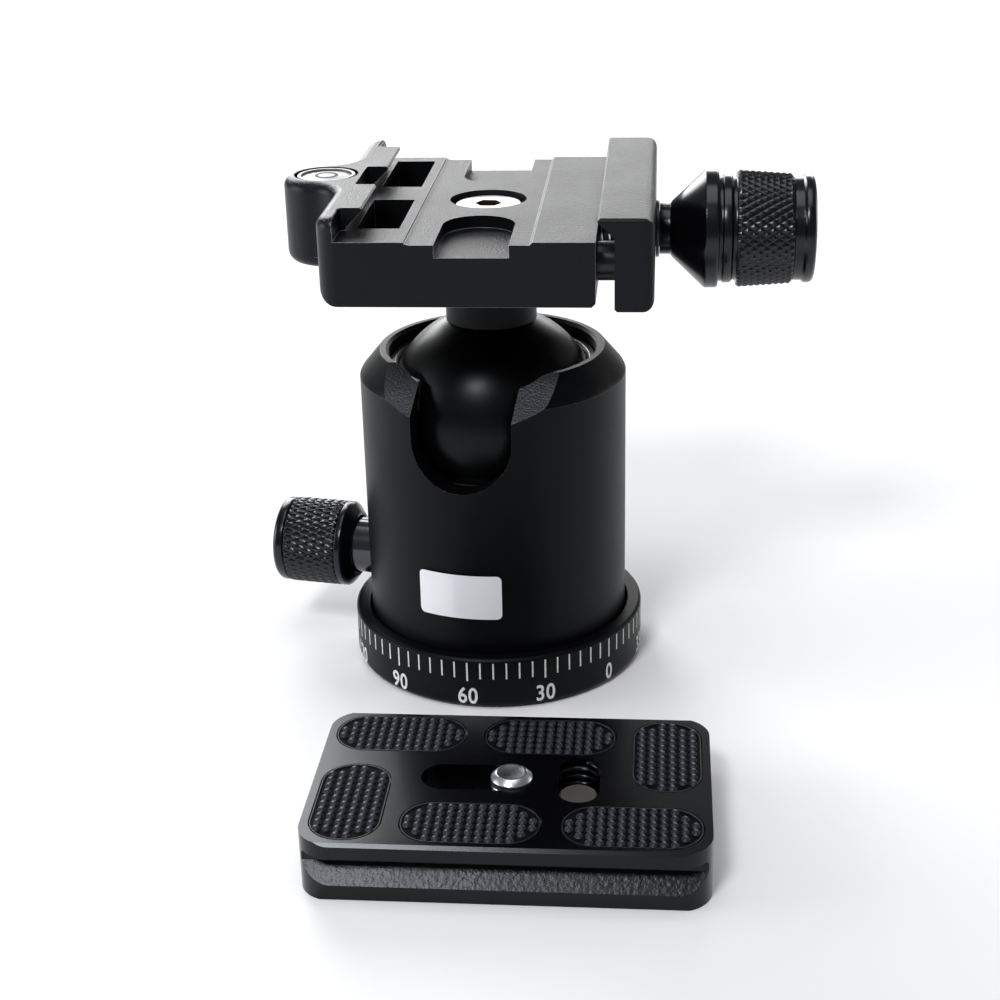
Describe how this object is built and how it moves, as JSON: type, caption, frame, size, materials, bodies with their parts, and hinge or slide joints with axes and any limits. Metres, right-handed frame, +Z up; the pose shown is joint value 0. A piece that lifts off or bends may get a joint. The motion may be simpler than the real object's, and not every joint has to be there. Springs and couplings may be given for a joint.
{
  "type": "tripod ball head",
  "caption": "Tripod ball head with a panning base, drop notch, ball lock knob and screw-knob dovetail clamp, with its padded quick release plate.",
  "frame": {"origin": "centre of the base's underside, on the axis of the tripod thread, at the surface it stands on", "axes": "+Z up along the pan axis and the upright stem; +X along the clamp screw towards its knob; -Y towards the drop notch's side and the quick release plate"},
  "size_m": [0.0962, 0.1187, 0.0878],
  "materials": {
    "housing": "satin black anodised",
    "scale_ring": "satin black anodised with engraved white scale",
    "clamp": "bead-blasted dark grey anodised",
    "plate": "satin black anodised",
    "knob": "gloss black anodised, knurled",
    "ball": "matte black hard anodised",
    "stem": "satin black anodised",
    "inner_alloy": "machined, bare",
    "steel": "bright zinc plated",
    "dark_steel": "black oxide",
    "brass": "machined",
    "seat": "moulded acetal, dark grey",
    "cup": "moulded acetal, natural",
    "rubber": "woven-pattern rubber",
    "label": "blank domed sticker",
    "level_case": "satin silver",
    "level_lens": "clear lens over silver liquid",
    "plug": "moulded, warm grey"
  },
  "bodies": {
    "base": {"base_plate": "scale_ring", "scale_ring": "scale_ring", "thread_bush": "steel", "pan_post": "inner_alloy", "post_screws": "steel", "retaining_washer": "steel", "retaining_screws": "steel", "thrust_washer": "cup"},
    "housing": {"housing": "housing", "bearing_block": "inner_alloy", "block_screws": "dark_steel", "pan_bush": "brass", "upper_seat_ring": "seat", "lock_sleeve": "dark_steel", "label": "label"},
    "ball_lock": {"lock_knob": "knob", "lock_knob_cap": "knob", "lock_spindle": "steel"},
    "wedge": {"lock_wedge": "steel"},
    "lift": {"lift_plate": "inner_alloy"},
    "pan_lock": {"pan_knob": "knob", "pan_spindle": "steel"},
    "pan_brake": {"pan_shoe": "brass"},
    "cup": {"ball_cup": "cup"},
    "ball": {"ball": "ball"},
    "clamp": {"stem": "stem", "clamp_body": "clamp", "stem_bolt": "steel", "level_case": "level_case", "level_lens": "level_lens", "jaw_spring": "steel"},
    "jaw": {"moving_jaw": "clamp", "guide_pins": "dark_steel", "clamp_washer": "dark_steel"},
    "clamp_lock": {"clamp_knob": "knob", "clamp_knob_cap": "knob", "clamp_screw": "steel"},
    "plate": {"plate_body": "plate", "plate_pads": "rubber", "hole_plug": "plug"},
    "screw_carriage": {"screw_retainer": "steel"},
    "camera_screw": {"camera_screw": "steel"}
  },
  "joints": [
    {"name": "pan", "type": "hinge", "parent": "base", "child": "housing", "pos_m": [0, 0, 0.01], "axis": [0, 0, 1], "continuous": true},
    {"name": "ball_lock_turn", "type": "hinge", "parent": "housing", "child": "ball_lock", "pos_m": [0, 0, 0.0172], "axis": [-0.9857, 0.1685, 0], "range_deg": [0, 180]},
    {"name": "wedge_slide", "type": "slide", "parent": "housing", "child": "wedge", "axis": [-0.9857, 0.1685, 0], "range_m": [0, 0.0004]},
    {"name": "lift_drop", "type": "slide", "parent": "housing", "child": "lift", "axis": [0, 0, -1], "range_m": [0, 0.000035]},
    {"name": "pan_lock_turn", "type": "hinge", "parent": "housing", "child": "pan_lock", "pos_m": [0, 0, 0.0116], "axis": [-0.0052, 1, 0], "range_deg": [0, 90]},
    {"name": "pan_brake_slide", "type": "slide", "parent": "housing", "child": "pan_brake", "axis": [-0.0052, 1, 0], "range_m": [0, 0.000125]},
    {"name": "tilt_direction", "type": "hinge", "parent": "housing", "child": "cup", "pos_m": [0, 0, 0.0453], "axis": [0, 0, 1], "range_deg": [0, 360]},
    {"name": "tilt", "type": "hinge", "parent": "cup", "child": "ball", "pos_m": [0, 0, 0.0453], "axis": [0.9857, -0.1685, 0], "range_deg": [-30, 85]},
    {"name": "stem_spin", "type": "hinge", "parent": "ball", "child": "clamp", "pos_m": [0, 0, 0.0453], "axis": [0, 0, 1], "continuous": true},
    {"name": "jaw_slide", "type": "slide", "parent": "clamp", "child": "jaw", "axis": [1, 0, 0], "range_m": [-0.0025, 0.0025], "deforming": ["jaw_spring"]},
    {"name": "clamp_lock_turn", "type": "hinge", "parent": "jaw", "child": "clamp_lock", "pos_m": [0.03, 0, 0.078], "axis": [1, 0, 0], "range_deg": [-900, 900]},
    {"name": "plate_lift", "type": "slide", "parent": "base", "child": "plate", "axis": [0, 0, 1], "range_m": [0, 0.1]},
    {"name": "camera_screw_slide", "type": "slide", "parent": "plate", "child": "screw_carriage", "axis": [1, 0, 0], "range_m": [-0.0102, 0]},
    {"name": "camera_screw_turn", "type": "hinge", "parent": "screw_carriage", "child": "camera_screw", "pos_m": [0.0074, -0.06332, 0.005], "axis": [0, 0, 1], "continuous": true}
  ],
  "couplings": [
    {"joint": "ball_lock_turn", "follows": "wedge_slide", "rad_per_m": 7854},
    {"joint": "lift_drop", "follows": "wedge_slide", "ratio": 0.087489},
    {"joint": "pan_lock_turn", "follows": "pan_brake_slide", "rad_per_m": 12566},
    {"joint": "clamp_lock_turn", "follows": "jaw_slide", "rad_per_m": 6283.2}
  ]
}
